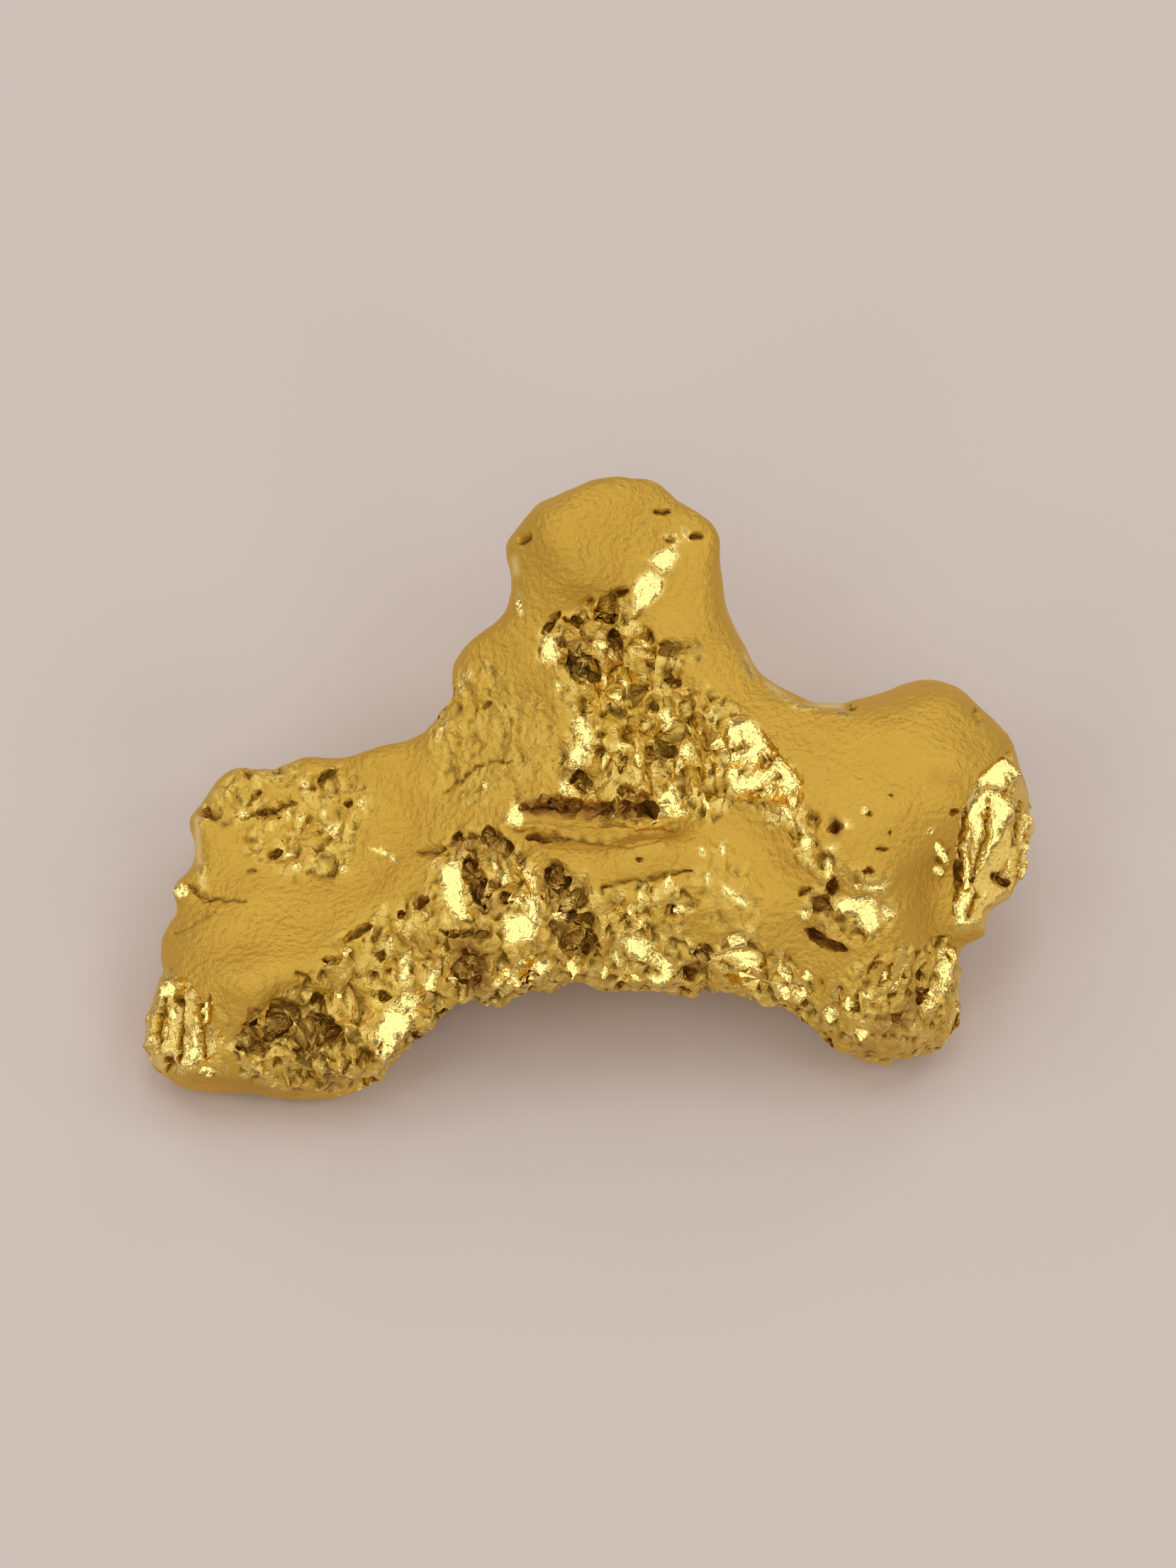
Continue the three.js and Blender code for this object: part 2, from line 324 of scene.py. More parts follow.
# %% [markdown]
# A mark takes hold of a vertex by a weight from nought to one. For an outline, the weight rises across a
# soft edge. Whether a pixel is inside is found by counting how many sides of the outline lie to its right:
# an odd number means inside. To save time, only the pixels near a mark are measured.

# %% Near a line, or inside an outline
FEATHER = 3.5


def along_line(points, line):
    nearest = np.full(len(points), np.inf)
    share = np.zeros(len(points))
    done = 0.0
    whole = sum(math.dist(a, b) for a, b in zip(line, line[1:]))
    for a, b in zip(line, line[1:]):
        a, b = np.array(a, float), np.array(b, float)
        length = np.linalg.norm(b - a)
        along = np.clip(((points - a) @ (b - a)) / length ** 2, 0, 1)
        distance = np.linalg.norm(points - a - along[:, None] * (b - a), axis=1)
        closer = distance < nearest
        nearest[closer] = distance[closer]
        share[closer] = (done + along[closer] * length) / whole
        done += length
    return nearest, share


def near_marks(points, marks, margin):
    marks = np.array(marks, float)
    return ((points > marks.min(0) - margin) & (points < marks.max(0) + margin)).all(1)


def area_weight(points, outline, feather):
    weight = np.zeros(len(points))
    close = near_marks(points, outline, feather)
    some = points[close]
    ring = outline + outline[:1]
    inside = np.zeros(len(some), bool)
    for (ax, ay), (bx, by) in zip(ring, ring[1:]):
        if ay != by:
            crosses = (ay > some[:, 1]) != (by > some[:, 1])
            inside ^= crosses & (some[:, 0] < ax + (bx - ax) * (some[:, 1] - ay) / (by - ay))
    distance = along_line(some, ring)[0]
    weight[close] = smoothstep(0.5 + np.where(inside, distance, -distance) / (2 * feather))
    return weight


pocket = area_weight(photo_pixels(positions()), ROUGH_AREAS["knob_pocket"][1], FEATHER)
print("vertices in the knob's pocket:", int((pocket > 0.5).sum()))

# %% [markdown]
# The edges of rough ground must not look drawn, so the pixels are first shaken by a noise, which lets it
# bite into the skin here and stop short there. The sides that the photograph doesn't show get patches of
# the same ground, from a slower noise alone.

# %% Rough ground
SHAKE = 6.0
SHAKE_GRAIN = 0.22
SHAKE_SHIFTS = (7.0, 19.0)
HIDDEN_GRAIN = 1.15
HIDDEN_SHIFT = 3.0
HIDDEN_START = -0.02
HIDDEN_SOFT = 0.3
HIDDEN_SHARE = 0.8
TURNED_AWAY = 0.1
OVER_THE_EDGE = 0.18


def noise_at(co, grain, shift):
    shifted = co / grain + shift
    return np.array([noise.noise(Vector(point)) for point in shifted])


def rough_ground(co):
    shake = np.stack([noise_at(co, SHAKE_GRAIN, shift) for shift in SHAKE_SHIFTS], 1)
    points = photo_pixels(co) + SHAKE * shake
    view_side = normals() @ view_back
    front = smoothstep((view_side + OVER_THE_EDGE) / FACING_SOFT)
    strength = np.zeros(len(co))
    for share, outline in ROUGH_AREAS.values():
        strength = np.maximum(strength, share * area_weight(points, outline, FEATHER) * front)
    patches = noise_at(co, HIDDEN_GRAIN, HIDDEN_SHIFT)
    turned_away = smoothstep((-view_side - TURNED_AWAY) / FACING_SOFT)
    hidden = smoothstep((patches - HIDDEN_START) / HIDDEN_SOFT) * turned_away
    return np.maximum(strength, HIDDEN_SHARE * hidden)


rough = rough_ground(positions())
print("rough share:", round(float((rough > 0.5).mean()), 3))

# %% [markdown]
# The single marks come next, all placed in the photograph's pixels. Cuts are pits, nicks, creases and the
# slit. Each is a line, half a width in pixels and a depth in millimetres, and a negative depth is a raised
# lip. A cut is as sharp as a V, and it runs out thin at both ends, as a scratch does.

# %% Cuts
CUTS = {
    "slit": ([(754, 1034), (796, 1036), (821, 1035)], 5.6, 0.15),
    "slit_left_end": ([(756, 1033), (776, 1034)], 5.5, 0.08),
    "slit_right_step": ([(804, 1025), (817, 1030), (821, 1038)], 4, 0.16),
    "lip": ([(752, 1044), (776, 1045), (806, 1046), (832, 1043)], 4, -0.05),
    "lip_crease": ([(757, 1049), (777, 1050)], 2.4, 0.11),
    "lip_crease_fine": ([(780, 1050), (810, 1053), (826, 1049)], 2, 0.035),
    "knob_arc_left": ([(765, 946), (774, 936)], 2.6, 0.1),
    "knob_arc_middle": ([(776, 939), (785, 940)], 3, 0.12),
    "knob_arc_right": ([(792, 936), (801, 940)], 2.8, 0.12),
    "knob_slit": ([(798, 929), (808, 924)], 2.6, 0.1),
    "pocket_hollow": ([(776, 952), (790, 968)], 9, 0.17),
    "pocket_deep": ([(800, 946), (804, 956)], 4, 0.15),
    "pocket_right": ([(824, 953), (840, 953)], 5, 0.08),
    "pocket_low": ([(826, 967), (834, 972)], 4, 0.08),
    "curl_eye": ([(800, 970), (802, 974)], 4, 0.08),
    "ring_eye": ([(806, 1008), (804, 1016)], 5, 0.12),
    "square_pit": ([(781, 1020), (789, 1021)], 6, 0.16),
    "knob_nick": ([(821, 885), (829, 885.5)], 2, 0.06),
    "knob_dimple": ([(754, 900), (759, 897)], 3, 0.07),
    "knob_streak_nick": ([(840, 897), (846, 898)], 2.6, 0.07),
    "knob_streak_edge": ([(827, 899), (832, 899)], 2, 0.05),
    "shoulder_nick": ([(738, 980), (735, 985)], 2.2, 0.04),
    "shoulder_line": ([(716, 1026), (734, 1012), (750, 1010)], 2.2, 0.03),
    "boss_rim_left": ([(702, 1056), (715, 1054)], 4, 0.07),
    "boss_rim_top": ([(720, 1049), (737, 1046), (749, 1054)], 3.4, 0.08),
    "boss_core": ([(728, 1061), (734, 1074), (736, 1088)], 5, 0.17),
    "boss_core_right": ([(745, 1078), (748, 1081)], 4.6, 0.12),
    "boss_hollow": ([(727, 1108), (731, 1120)], 11, 0.13),
    "boss_step": ([(716, 1098), (736, 1097)], 3.4, 0.08),
    "scoop_hole": ([(703, 1080), (704, 1084)], 5, 0.14),
    "scoop_hole_small": ([(692, 1087), (694, 1089)], 3.4, 0.08),
    "scoop_brow": ([(665, 1101), (673, 1095), (679, 1094)], 2.4, 0.09),
    "scoop_nick": ([(655, 1111), (662, 1112)], 2.8, 0.1),
    "scoop_nick_left": ([(640, 1117), (647, 1121)], 2.2, 0.06),
    "scoop_gap": ([(682, 1107), (684, 1111)], 3.4, 0.1),
    "scoop_gap_low": ([(683, 1128), (688, 1129)], 3.4, 0.08),
    "scoop_bed": ([(612, 1152), (634, 1143), (660, 1147)], 14, 0.14),
    "scoop_bed_right": ([(640, 1157), (660, 1162)], 5, 0.07),
    "scoop_drop": ([(651, 1128), (652, 1135)], 3, 0.08),
    "notch": ([(771, 1063), (778, 1082), (781, 1100), (783, 1112)], 11, 0.2),
    "notch_right": ([(788, 1090), (792, 1108)], 4.4, 0.08),
    "shelf_step": ([(794, 1075), (803, 1072), (817, 1071), (830, 1067), (840, 1065)], 2.2, 0.04),
    "apron_pit": ([(813, 1060), (814, 1061)], 2.4, 0.05),
    "apron_bead_gap": ([(829, 1083), (831, 1087)], 2.4, 0.08),
    "apron_hole": ([(842, 1107), (849, 1106)], 4.6, 0.14),
    "apron_gap": ([(832, 1118), (843, 1117)], 3, 0.1),
    "arm_top_nick": ([(616, 1014), (617, 1018)], 3, 0.08),
    "arm_top_scratch": ([(623, 1025), (616, 1032)], 2, 0.05),
    "arm_long_scratch": ([(640, 1031), (626, 1036), (613, 1039)], 2.2, 0.06),
    "arm_edge_scratch": ([(662, 1013), (653, 1021)], 2.4, 0.06),
    "arm_left_pit": ([(594, 1036), (602, 1038)], 3.4, 0.1),
    "shelf_pit_a": ([(630, 1038), (633, 1039)], 2.6, 0.07),
    "shelf_pit_b": ([(648, 1024), (651, 1023)], 2.4, 0.06),
    "shelf_pit_c": ([(665, 1032), (669, 1032)], 3, 0.09),
    "shelf_pit_d": ([(649, 1046), (654, 1047)], 2.8, 0.06),
    "shelf_pit_e": ([(628, 1058), (633, 1056)], 2.8, 0.07),
    "shelf_pit_f": ([(616, 1066), (621, 1065)], 2, 0.03),
    "ridge_scratch": ([(594, 1081), (604, 1080), (616, 1081)], 2, 0.03),
    "ridge_scratch_low": ([(580, 1098), (590, 1092), (600, 1087)], 2, 0.02),
    "arm_end_step": ([(586, 1072), (592, 1078), (600, 1080)], 3, 0.05),
    "tip_groove_left": ([(575, 1130), (571, 1158)], 2.2, 0.06),
    "tip_groove_middle": ([(583, 1126), (582, 1164)], 2.2, 0.06),
    "tip_groove_right": ([(593, 1132), (595, 1160)], 2.2, 0.06),
    "tip_notch": ([(577, 1160), (576, 1166)], 3, 0.08),
    "plateau_diamond": ([(912, 1042), (913, 1046)], 4.6, 0.17),
    "plateau_pit_top": ([(929, 1036), (930, 1038)], 2, 0.05),
    "plateau_pit_low": ([(933, 1055), (939, 1055)], 1.8, 0.05),
    "plateau_pit_small": ([(940, 1047), (941, 1048)], 1.8, 0.04),
    "plateau_pit_far": ([(940, 1028), (942, 1028)], 1.8, 0.03),
    "pit_mouth": ([(903, 1081), (908, 1084)], 5.6, 0.24),
    "pit_chimney": ([(912, 1070), (911, 1078)], 3.6, 0.14),
    "pit_top": ([(927, 1066), (931, 1067)], 2.8, 0.09),
    "pit_side": ([(893, 1079), (900, 1075)], 2.6, 0.07),
    "pit_crescent": ([(898, 1096), (907, 1102), (918, 1106)], 3, 0.16),
    "ear_seam": ([(978, 1034), (974, 1067), (972, 1088)], 2.4, 0.07),
    "ear_dark": ([(993, 1068), (999, 1072)], 5, 0.13),
    "ear_streak": ([(1006, 1030), (1002, 1060)], 2.2, 0.06),
    "ear_streak_long": ([(990, 1030), (988, 1050), (981, 1072)], 1.8, 0.05),
    "ear_streak_low": ([(984, 1078), (979, 1090)], 1.8, 0.05),
    "foot_seam": ([(957, 1112), (955, 1134)], 2.8, 0.1),
    "foot_wrinkle_a": ([(934, 1126), (942, 1112)], 2, 0.05),
    "foot_wrinkle_b": ([(940, 1130), (948, 1116)], 2, 0.06),
    "foot_wrinkle_c": ([(928, 1120), (935, 1108)], 2, 0.05),
    "foot_wrinkle_d": ([(948, 1130), (953, 1118)], 2, 0.05),
    "foot_wrinkle_e": ([(922, 1136), (926, 1124)], 2, 0.05),
    "foot_nick": ([(958, 1104), (960, 1108)], 2.2, 0.06),
    "foot_hollow": ([(938, 1142), (950, 1138)], 5, 0.08),
    "saddle_nick": ([(919, 984), (923, 983)], 2.6, 0.06),
    "knob_wrinkle_a": ([(955, 972), (962, 971), (972, 972)], 3, 0.03),
    "knob_wrinkle_b": ([(983, 984), (985, 992)], 2.4, 0.03),
    "ring_crest": ([(797, 1012), (800, 1005), (806, 1003), (812, 1008)], 3.4, -0.06),
    "curl_crest": ([(796, 964), (795, 973), (801, 978), (807, 972), (804, 964)], 2.8, -0.05),
    "scarp_crease_a": ([(860, 1006), (873, 1001)], 1.8, 0.05),
    "scarp_crease_b": ([(864, 1017), (881, 1010)], 1.8, 0.05),
    "scarp_crease_c": ([(871, 1027), (886, 1018)], 1.8, 0.045),
}
TAPER = 0.65
TAPER_POWER = 3


def cut_weight(points, line, half_width):
    weight = np.zeros(len(points))
    close = near_marks(points, line, half_width)
    distance, share = along_line(points[close], line)
    width = half_width * (1 - TAPER * np.abs(2 * share - 1) ** TAPER_POWER)
    weight[close] = np.clip(1 - distance / width, 0, 1)
    return weight


print("cuts:", len(CUTS), "deepest:", max(depth for line, half_width, depth in CUTS.values()), "mm")

# %% [markdown]
# Crystal faces flash where the river didn't reach them. The larger ones are given by their outline, and
# cover rough ground and skin alike.

# %% Crystal faces
FACES = {
    "ear_plane": [(986, 1018), (1001, 1006), (1010, 1028), (1013, 1044), (1010, 1060), (1001, 1080),
                  (990, 1094), (972, 1097), (973, 1074), (977, 1040)],
    "scarp_plane": [(857, 989), (872, 990), (883, 1006), (896, 1020), (893, 1033), (880, 1030), (860, 1027),
                    (856, 1010)],
    "scarp_high": [(857, 989), (872, 990), (883, 1006), (878, 1014), (858, 1012)],
    "scoop_band": [(687, 1133), (697, 1128), (709, 1130), (702, 1140), (695, 1149), (685, 1162), (678, 1160),
                   (682, 1145)],
    "tip_plane": [(573, 1122), (584, 1120), (597, 1136), (600, 1158), (584, 1168), (566, 1164), (565, 1145)],
    "knob_streak_low": [(810.5, 925), (812, 919), (819, 914), (827, 919), (826, 926), (819, 932),
                        (810, 939)],
    "knob_streak_high": [(818, 909.5), (822.5, 905), (831, 902), (834, 907), (830, 914), (825, 917),
                         (821, 913)],
    "knob_streak_neck": [(826, 897), (832.5, 895.5), (834, 901), (831, 905), (829, 899.5)],
    "knob_streak_top": [(834.5, 892), (839, 895), (840, 900), (836, 899.5)],
    "pocket_tower": [(767, 945), (771, 948), (774.5, 961), (764, 961), (764.5, 952)],
    "column_top": [(780, 990), (787, 987), (790.5, 998.5), (790, 1007), (783, 1004)],
    "column_middle": [(782.8, 999), (789, 1007), (784, 1015.5), (776.5, 1014), (778.6, 1005.5)],
    "column_low": [(773, 1021), (778.6, 1016.8), (781.4, 1026.6), (775.8, 1029.4)],
    "slit_crystal": [(822, 1029), (832, 1021), (835, 1031), (840, 1038.5), (823.5, 1039.5)],
    "slit_end": [(750.5, 1029), (756, 1036.5), (754.7, 1045), (745.6, 1042)],
    "right_tower": [(823.5, 986), (830.5, 983), (832, 993), (825, 997)],
    "right_chip": [(832, 1003), (840, 1001.5), (841.5, 1008.5), (834.7, 1010)],
    "boss_left": [(713, 1063.5), (725, 1060.5), (726.5, 1073), (724.5, 1081.5), (730.5, 1090), (718, 1089),
                  (714, 1077.5)],
    "boss_right_top": [(753, 1062), (760, 1066), (766, 1076), (757, 1076)],
    "boss_right": [(753, 1076), (763, 1079), (764.5, 1093), (760, 1101.5), (746, 1103), (744.5, 1089),
                   (756, 1087)],
    "boss_foot": [(744.5, 1117), (756, 1111), (767, 1107), (769.5, 1115.5), (757.5, 1122.5), (746, 1125)],
    "outer_rib": [(692.5, 1109), (699.5, 1105), (696.5, 1116), (698, 1124.5), (693, 1123)],
    "outer_rib_right": [(706.5, 1116), (713.5, 1115), (710.5, 1129), (703.5, 1126)],
    "scoop_right_high": [(693, 1126), (703.5, 1127.5), (709.5, 1133), (701, 1137), (695.5, 1134.5)],
    "shelf_face": [(653, 1042), (664.5, 1042), (661.5, 1046), (664.5, 1051.5), (660, 1050), (656, 1046)],
    "shelf_chip": [(635, 1054.5), (640.5, 1058.5), (635, 1060)],
    "tip_blade": [(584.5, 1134.5), (590, 1134.5), (591.5, 1148.5), (593.5, 1157), (587.5, 1164.5),
                  (581.5, 1164), (583, 1153)],
    "tip_upper": [(576, 1122), (581, 1121), (578, 1131.5), (573, 1133)],
    "tip_left": [(568.5, 1138.5), (572.5, 1138.5), (572, 1151.5), (566, 1155.5)],
    "apron_face": [(806.5, 1100), (816.5, 1097), (822, 1107), (816.5, 1111), (808, 1110)],
    "apron_face_right": [(822, 1107), (833, 1114), (826, 1116), (817, 1112)],
    "apron_ribbon": [(855.5, 1071.5), (869.5, 1081.5), (867, 1085), (855.5, 1077.5)],
    "long_face_top": [(857, 1098.5), (865.5, 1096.5), (868, 1103), (860, 1105.5)],
    "long_face": [(851.5, 1110), (861, 1105.5), (871, 1105.5), (878, 1117), (867, 1117), (861, 1111)],
    "long_face_right": [(881, 1110), (892, 1117), (890.5, 1122.5), (883.5, 1118)],
    "ear_left": [(979, 1029.5), (987, 1027), (986, 1045.5), (979, 1072.5), (974, 1076.5), (976, 1054)],
    "ear_core": [(987, 1027), (999, 1024), (1003.5, 1035), (996.5, 1051), (990, 1064.5), (980.5, 1071),
                 (987, 1046)],
    "ear_top": [(991, 1013.5), (1001, 1010), (1004.5, 1019), (1000.5, 1027), (990, 1024)],
    "ear_low": [(974, 1078), (982, 1074), (986, 1080.5), (982, 1092.5), (974, 1094), (972.5, 1087)],
    "ear_rim": [(1006, 1035), (1009.5, 1040.5), (1007.5, 1059), (1001, 1076.5), (999, 1067), (1004.5, 1054)],
    "foot_edge": [(965.5, 1104.5), (971, 1104.5), (971, 1121), (963, 1135.5), (957, 1137), (956.5, 1130),
                  (963, 1121)],
    "pit_face_left": [(912, 1080.5), (928, 1078), (927, 1088.5), (912, 1087.5)],
    "pit_face": [(928, 1078), (933.5, 1080.5), (935, 1094), (928, 1098.5), (923, 1090)],
    "pit_face_right": [(935, 1080.5), (943, 1088.5), (936.5, 1091.5)],
    "pit_blade": [(928, 1072.5), (937.5, 1072), (937.5, 1076.5), (927, 1076)],
}
print("crystal faces:", len(FACES))

# %% [markdown]
# The smallest faces are too many to outline. Each row is a middle, half a width, half a length and a lean
# from upright in degrees. Their shape is between a diamond and an oval, like a crystal face with worn
# corners.

# %% Small mirrors
MIRRORS = {
    "knob_low_spot": (753, 932, 2.2, 2.4, 0),
    "pocket_pink": (794, 952, 5, 3, 20),
    "pocket_blade": (817, 953, 2.6, 7, -28),
    "pocket_chip": (773, 973, 4, 1.8, 90),
    "pocket_foot": (800, 959, 3, 4.5, -30),
    "curl_left": (796, 970, 2, 6, 5),
    "curl_right": (806, 970, 2, 5, -20),
    "curl_bottom": (802, 978, 4, 2.4, 0),
    "column_foot": (776, 1025, 3.8, 3.4, 0),
    "white_spark": (784, 1022.5, 2.6, 3, 0),
    "ring_left": (797, 1010, 2.2, 5, 20),
    "ring_top": (804, 1003, 5, 2, 0),
    "ring_right": (813, 1010, 2, 5, -15),
    "slit_chip": (801, 1034, 2.2, 6, 14),
    "right_blade": (834, 1013, 2.2, 6, 20),
    "right_blade_low": (821, 1015, 1.8, 7, 5),
    "right_low": (847, 1031, 2.6, 5, -15),
    "right_low_far": (854, 1031, 3, 4.6, -45),
    "right_pink": (853, 1001, 2.6, 5, 0),
    "scarp_bead": (891, 1031, 3, 4, 0),
    "scarp_blade": (888, 1037, 2.6, 6, -40),
    "scarp_blade_low": (894, 1044, 2.2, 6, -50),
    "scarp_knot": (898, 1052, 4, 5, 10),
    "scarp_tail": (909, 1065, 2.4, 7, 5),
    "scarp_tail_top": (911, 1054, 5, 2, -20),
    "boss_chip": (741, 1064, 1.8, 4.4, -10),
    "boss_chip_right": (746, 1069, 2.4, 5, 20),
    "boss_white": (752, 1081, 3, 3.2, 0),
    "boss_foot_spot": (742, 1122, 2.4, 3, 0),
    "boss_foot_left": (719, 1121, 2.4, 3.2, 0),
    "boss_outer_low": (696, 1118, 3.2, 7, 5),
    "scoop_rim_spot": (702, 1130, 2, 7, 20),
    "scoop_spot": (662, 1129, 2.2, 2.2, 0),
    "scoop_spot_right": (676, 1139, 1.8, 3.4, 0),
    "scoop_spot_low": (640, 1143, 1.8, 2, 0),
    "scoop_chip": (688, 1103, 2.2, 4.6, 10),
    "scoop_chip_left": (666, 1107, 1.8, 3.2, 0),
    "shelf_spot_a": (614.6, 1037.7, 3, 2.6, 0),
    "shelf_spot_b": (636.4, 1037.7, 1.8, 3.2, -15),
    "shelf_spot_c": (643.4, 1039.8, 2, 2.6, -20),
    "shelf_spot_d": (654.6, 1037, 2, 2.6, 0),
    "shelf_spot_e": (645.5, 1022.3, 2.8, 2.6, 0),
    "shelf_spot_f": (674, 1032.4, 3, 3.4, 0),
    "shelf_spot_h": (641.3, 1063.7, 2.8, 2.6, 0),
    "shelf_spot_i": (664.4, 1065.1, 3, 2.2, 20),
    "ridge_line": (684, 1056.4, 8.5, 1.3, 18),
    "ridge_line_end": (690, 1060, 4.4, 1.3, 40),
    "ridge_spot": (736, 1023, 1.6, 3.2, -35),
    "arm_end_knob": (583, 1076, 3.6, 5, 10),
    "tip_rib": (579, 1139, 2.4, 5, 0),
    "tip_thread": (597, 1136, 1.6, 8.5, 0),
    "tip_right": (603.4, 1150, 2, 4.4, 0),
    "tip_foot": (595.7, 1166.8, 5, 2, 0),
    "notch_face": (778, 1083, 2, 4.4, 10),
    "notch_face_left": (772.8, 1088.8, 2, 5.4, -20),
    "notch_foot": (780, 1115.4, 4, 4, 0),
    "notch_foot_right": (796, 1117, 2.6, 3, 0),
    "apron_bead_a": (804.4, 1079.6, 2, 2.4, 0),
    "apron_bead_b": (814.2, 1079, 1.9, 4.2, 0),
    "apron_bead_c": (809.3, 1085.4, 2, 3.6, 0),
    "apron_bead_d": (813.5, 1093, 2.6, 2.4, 0),
    "apron_crystal": (828.2, 1072, 2.5, 5.4, 15),
    "apron_bead": (834, 1085.2, 3.2, 3.4, 0),
    "apron_face_left": (802.3, 1110, 2, 5, -10),
    "apron_hem": (809.3, 1120, 10, 1.8, 0),
    "apron_hem_right": (824.7, 1118, 9, 2, -12),
    "apron_spot_a": (845.7, 1056.5, 2.4, 3, -20),
    "apron_spot_b": (855.6, 1055, 2.2, 4, 0),
    "apron_thread": (848.5, 1070.5, 1.8, 5.4, 0),
    "arch_edge": (868, 1121.5, 13, 3, 12),
    "arch_edge_right": (887, 1127, 10, 2.8, 18),
    "arch_bead": (898, 1118.6, 3.6, 3.4, 0),
    "arch_end": (894.7, 1127.5, 5, 4, 10),
    "foot_low_spot": (910, 1138, 5, 5, 0),
    "foot_low_step": (919, 1133, 3.4, 3.4, 0),
    "foot_low_end": (925.6, 1147.6, 4.4, 2, 15),
    "foot_thread_a": (943, 1123.4, 1.5, 7, 30),
    "foot_thread_b": (937.6, 1118, 1.4, 5.4, 30),
    "foot_thread_c": (928.2, 1128.8, 1.6, 5, -50),
    "pit_blade_left": (923.5, 1074, 3.2, 1.8, 0),
    "pit_left": (897.4, 1087.3, 3.4, 4.4, 10),
    "diamond_edge": (918.2, 1042.4, 1.6, 3.8, 0),
    "plateau_spot": (927, 1035.6, 2.4, 2.2, 0),
    "ribbon_top": (972.4, 1036.4, 3, 2, -10),
    "ribbon": (965.4, 1056, 2.8, 6.4, -10),
    "ribbon_low": (964.4, 1065.8, 3, 3, 0),
    "ribbon_side": (960.4, 1045.7, 2.2, 2.2, 0),
    "ear_chip": (988, 1077, 1.8, 5.4, 15),
}
MIRROR_CORNERS = 1.5


def mirror_reach(points, x, y, half_width, half_length, lean):
    turn = math.radians(lean)
    offset = points - np.array((x, y))
    across = offset @ np.array((math.cos(turn), math.sin(turn))) / half_width
    along = offset @ np.array((math.sin(turn), -math.cos(turn))) / half_length
    return np.abs(across) ** MIRROR_CORNERS + np.abs(along) ** MIRROR_CORNERS


print("small mirrors:", len(MIRRORS))

# %% [markdown]
# Two kinds of mark change only the finish. Glints are painted highlights along edges at the outline, a paler
# colour with a lower roughness: a line and half a width. Stains are the brown places where iron from the
# river bed was left in the deepest pits, and a few faint blushes on the skin: a line, half a width and a
# strength.

# %% Glints and stains
GLINTS = {
    "knob_edge": ([(751, 909), (752, 916)], 3.2),
    "knob_edge_low": ([(753, 928), (754, 936)], 2.6),
    "neck": ([(866, 958), (871, 968)], 3.0),
    "saddle_left": ([(878, 972), (891, 981)], 2.6),
    "saddle": ([(893, 983), (915, 983)], 2.8),
    "saddle_bead": ([(914, 986), (918, 987)], 2.8),
    "shoulder_edge": ([(722, 976), (728, 966)], 2.2),
    "shoulder_edge_low": ([(712, 1000), (716, 990)], 2.2),
    "arm_end": ([(591, 1040), (592, 1062)], 3.0),
    "arm_end_low": ([(593, 1062), (594, 1074)], 2.4),
    "tip_corner": ([(571, 1160), (574, 1164)], 4.0),
    "foot_rim": ([(976, 1118), (973, 1140)], 2.6),
    "ear_foot": ([(988, 1094), (995, 1085)], 2.4),
}
STAINS = {
    "slit": ([(757, 1034), (800, 1036), (822, 1034)], 7, 1.0),
    "lip_crease": ([(757, 1049), (779, 1050)], 2.2, 0.9),
    "boss_hollow": ([(727, 1106), (731, 1121)], 14, 1.0),
    "boss_top": ([(722, 1054), (736, 1051), (746, 1056)], 8, 0.55),
    "boss_core": ([(729, 1062), (736, 1086), (746, 1080)], 6, 0.7),
    "pocket": ([(778, 950), (790, 950), (802, 952)], 8, 0.5),
    "pocket_right": ([(824, 953), (842, 954)], 6, 0.35),
    "scoop": ([(618, 1150), (640, 1142), (658, 1148), (652, 1158)], 12, 0.4),
    "scoop_hole": ([(702, 1080), (704, 1084)], 6, 0.5),
    "notch": ([(770, 1066), (776, 1098), (788, 1102)], 9, 0.4),
    "apron_hole": ([(842, 1107), (850, 1106), (840, 1118)], 5, 0.7),
    "pit_mouth": ([(903, 1081), (908, 1084)], 6, 1.0),
    "pit_chimney": ([(912, 1070), (911, 1078)], 5, 0.6),
    "pit_crescent": ([(898, 1096), (907, 1102), (918, 1106)], 3, 0.9),
    "pit_bed": ([(900, 1090), (916, 1096)], 8, 0.35),
    "diamond": ([(912, 1041), (913, 1046)], 5, 1.0),
    "foot": ([(936, 1144), (948, 1138), (954, 1124)], 10, 0.6),
    "foot_rim": ([(926, 1154), (950, 1156)], 7, 0.3),
    "ear_dark": ([(993, 1068), (1000, 1073)], 5, 0.5),
    "ear_smear": ([(961, 1019), (974, 1021)], 6, 0.22),
    "knob_blush": ([(778, 910), (792, 922)], 12, 0.14),
    "front_rim": ([(590, 1170), (640, 1176), (672, 1170)], 6, 0.3),
    "arm_left_pit": ([(594, 1036), (602, 1038)], 4, 0.7),
    "arm_top_nick": ([(616, 1014), (617, 1018)], 3, 0.8),
    "square_pit": ([(781, 1018), (790, 1020)], 6, 0.6),
    "slit_step": ([(806, 1026), (818, 1031)], 6, 0.6),
}


def band_weight(points, line, half_width):
    weight = np.zeros(len(points))
    close = near_marks(points, line, half_width)
    weight[close] = smoothstep(1 - along_line(points[close], line)[0] / half_width)
    return weight


print("glints:", len(GLINTS), "stains:", len(STAINS))

# %% [markdown]
# Only the rough ground and the marks need very small faces, so only the faces there are selected and
# subdivided: twice on the side that the photograph shows, once on the far side. The satin skin keeps its
# larger faces, which leaves the triangles for where they show.

# %% Finer faces under the marks
MARK_MARGIN = 3
SEEN_CUTS = 2
HIDDEN_CUTS = 1
BARELY_ROUGH = 0.15
BARELY_FACING = 0.05
FINE_SOFTENING = 4
GROUP_STEPS = 50


